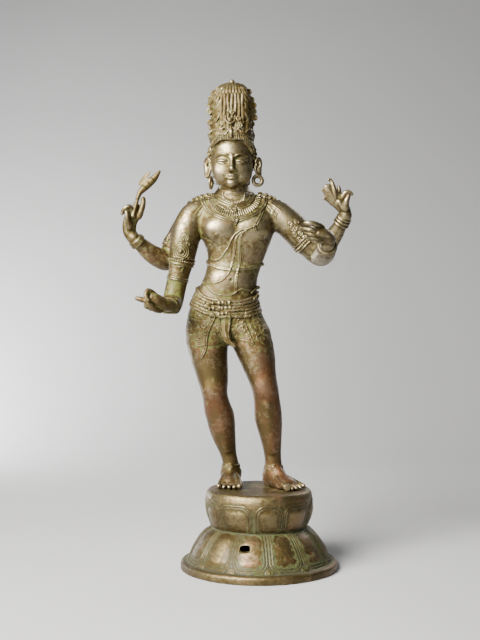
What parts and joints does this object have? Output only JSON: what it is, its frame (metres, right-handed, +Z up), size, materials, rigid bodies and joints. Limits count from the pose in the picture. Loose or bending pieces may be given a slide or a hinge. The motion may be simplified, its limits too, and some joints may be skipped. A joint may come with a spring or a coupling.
{
  "type": "shiva figure",
  "caption": "Standing many-armed deity cast in bronze, one raised hand holding an axe, on a hollow round lotus pedestal that stands by its own weight.",
  "frame": {"origin": "centre of the overall box, on the ground under the pedestal; the pedestal's own axis is at X = +34.5 mm", "axes": "+Z up along the figure, the front faces -Y, +X is towards the figure's left hands"},
  "size_m": [0.3638, 0.245, 0.7606],
  "materials": {
    "figure_bronze": "solid-cast bronze, olive-brown patina with satin rubbed heights and green and red-brown deposits",
    "pedestal_bronze": "rough cast bronze with a matt green-brown patina"
  },
  "bodies": {
    "root": {"shiva_figure": "figure_bronze", "lotus_pedestal": "pedestal_bronze"}
  },
  "joints": []
}
